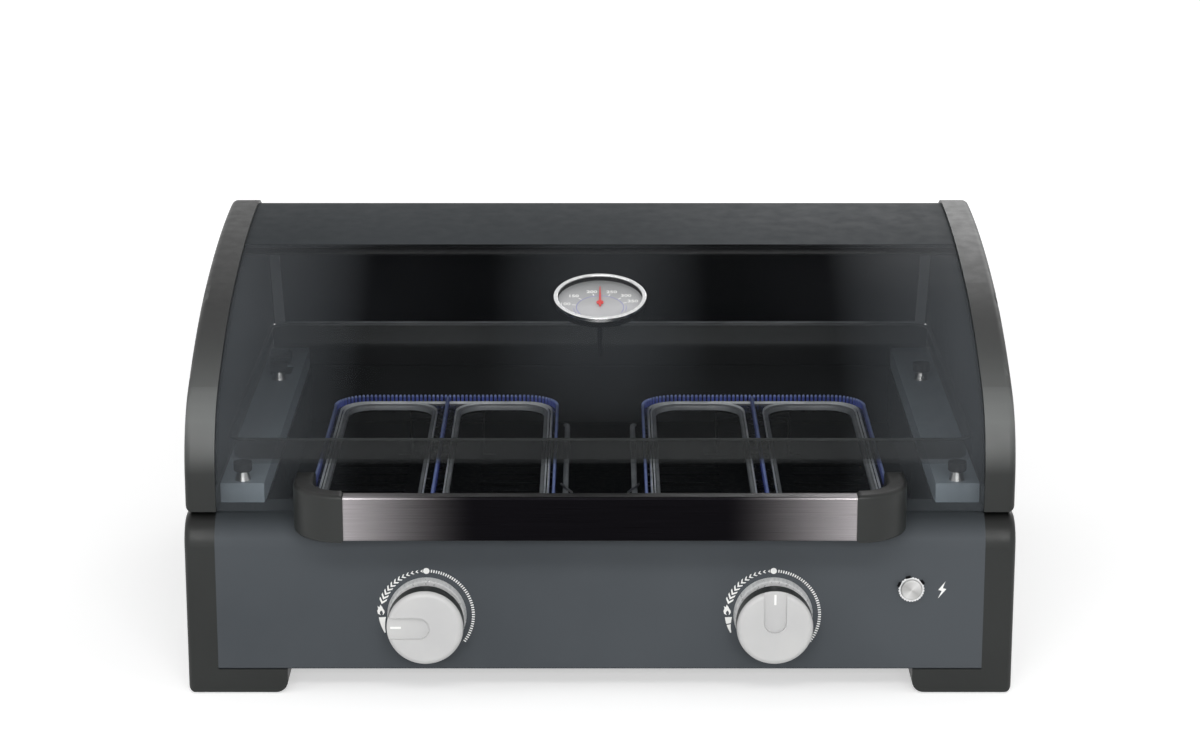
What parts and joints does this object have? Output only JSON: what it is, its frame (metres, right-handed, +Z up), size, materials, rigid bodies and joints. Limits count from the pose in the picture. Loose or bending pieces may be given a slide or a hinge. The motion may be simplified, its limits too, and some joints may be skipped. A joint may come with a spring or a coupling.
{
  "type": "gas griddle",
  "caption": "Tabletop gas griddle: a rimmed plate over twin burners, a see-through hinged hood with a handle and thermometer, turning knobs and a spark igniter.",
  "frame": {"origin": "on the table, under the middle of the griddle's bounding box", "axes": "+X to the griddle's right as its user faces it, +Y to the back, +Z up"},
  "size_m": [0.62, 0.52, 0.2973],
  "materials": {
    "panel_paint": "satin blue-grey enamel",
    "inner_steel": "black heat-proof enamel",
    "ledge_steel": "pale grey-blue enamel",
    "cap_plastic": "black, fine moulded grain",
    "hood_glass": "smoked, clear",
    "plate_glass": "dark see-through ceramic",
    "pad_rubber": "matt",
    "cast_iron": "rough cast, heat-blued",
    "brass": "machined",
    "pipe_steel": "brushed",
    "bar_steel": "fine brushed along its length",
    "bezel_chrome": "bright",
    "cup_aluminium": "pressed, dull",
    "knob_plastic": "pale grey, satin",
    "ring_plastic": "black",
    "ceramic": "white glazed ceramic",
    "lead_rubber": "black silicone",
    "dial_paint": "matt pale grey",
    "needle_paint": "red",
    "lens_glass": "clear"
  },
  "bodies": {
    "base": {"front_panel": "panel_paint", "bottom_pan": "inner_steel", "rear_panel": "inner_steel", "base_cap_left": "cap_plastic", "base_cap_right": "cap_plastic", "foot_pads": "pad_rubber", "ledge_left": "ledge_steel", "ledge_right": "ledge_steel", "burner_box": "inner_steel", "burner_left": "cast_iron", "burner_right": "cast_iron", "burner_supports": "inner_steel", "injectors": "brass", "gas_valve_left": "brass", "gas_valve_right": "brass", "gas_pipe": "pipe_steel", "gas_inlet": "brass", "electrode_insulators": "ceramic", "spark_wires": "pipe_steel", "electrode_bracket": "inner_steel", "igniter_body": "ring_plastic", "igniter_leads": "lead_rubber", "igniter_bezel": "bezel_chrome", "knob_bezels": "bezel_chrome", "plate_pegs": "pipe_steel", "peg_collars": "pad_rubber", "grease_rail": "inner_steel", "hinge_lugs": "pipe_steel", "hinge_pins": "pipe_steel", "panel_screws": "pipe_steel"},
    "hood": {"hood_pane": "hood_glass", "hood_roof": "panel_paint", "hood_rear_wall": "panel_paint", "hood_rail": "inner_steel", "hood_cap_left": "cap_plastic", "hood_cap_right": "cap_plastic", "hood_liner_left": "inner_steel", "hood_liner_right": "inner_steel", "handle_bar": "bar_steel", "handle_end_left": "cap_plastic", "handle_end_right": "cap_plastic", "handle_screws": "pipe_steel", "thermometer_case": "pipe_steel", "thermometer_bezel": "bezel_chrome", "thermometer_dial": "dial_paint", "thermometer_lens": "lens_glass", "thermometer_probe": "pipe_steel", "thermometer_nut": "pipe_steel"},
    "needle": {"thermometer_needle": "needle_paint"},
    "plate": {"griddle_plate": "plate_glass"},
    "spindle_left": {"spring_cup_left": "pipe_steel"},
    "knob_left": {"knob_left": "knob_plastic", "knob_ring_left": "ring_plastic", "valve_stem_left": "pipe_steel"},
    "spindle_right": {"spring_cup_right": "pipe_steel"},
    "knob_right": {"knob_right": "knob_plastic", "knob_ring_right": "ring_plastic", "valve_stem_right": "pipe_steel"},
    "igniter_button": {"igniter_button": "bezel_chrome"},
    "grease_cup": {"grease_cup": "cup_aluminium"}
  },
  "joints": [
    {"name": "hood_hinge", "type": "hinge", "parent": "base", "child": "hood", "pos_m": [0, 0.243, 0.152], "axis": [-1, 0, 0], "range_deg": [0, 95]},
    {"name": "plate_lift", "type": "slide", "parent": "base", "child": "plate", "axis": [0, 0, 1], "range_m": [0, 0.012]},
    {"name": "knob_push_left", "type": "slide", "parent": "base", "child": "spindle_left", "axis": [0, 1, 0], "range_m": [0, 0.003], "stiffness_N_per_m": 700, "springref_m": -0.003},
    {"name": "knob_turn_left", "type": "hinge", "parent": "spindle_left", "child": "knob_left", "pos_m": [-0.1296, -0.23, 0.0626], "axis": [0, -1, 0], "range_deg": [-90, 110]},
    {"name": "knob_push_right", "type": "slide", "parent": "base", "child": "spindle_right", "axis": [0, 1, 0], "range_m": [0, 0.003], "stiffness_N_per_m": 700, "springref_m": -0.003},
    {"name": "knob_turn_right", "type": "hinge", "parent": "spindle_right", "child": "knob_right", "pos_m": [0.1296, -0.23, 0.0626], "axis": [0, -1, 0], "range_deg": [0, 200]},
    {"name": "igniter_push", "type": "slide", "parent": "base", "child": "igniter_button", "axis": [0, 1, 0], "range_m": [0, 0.004], "stiffness_N_per_m": 900, "springref_m": -0.003},
    {"name": "needle_turn", "type": "hinge", "parent": "hood", "child": "needle", "pos_m": [0, -0.05816, 0.26584], "axis": [0, -0.2588, 0.9659], "range_deg": [-130, 130], "stiffness_Nm_per_rad": 0.0005},
    {"name": "grease_cup_slide", "type": "slide", "parent": "base", "child": "grease_cup", "axis": [0, 1, 0], "range_m": [0, 0.1]}
  ]
}
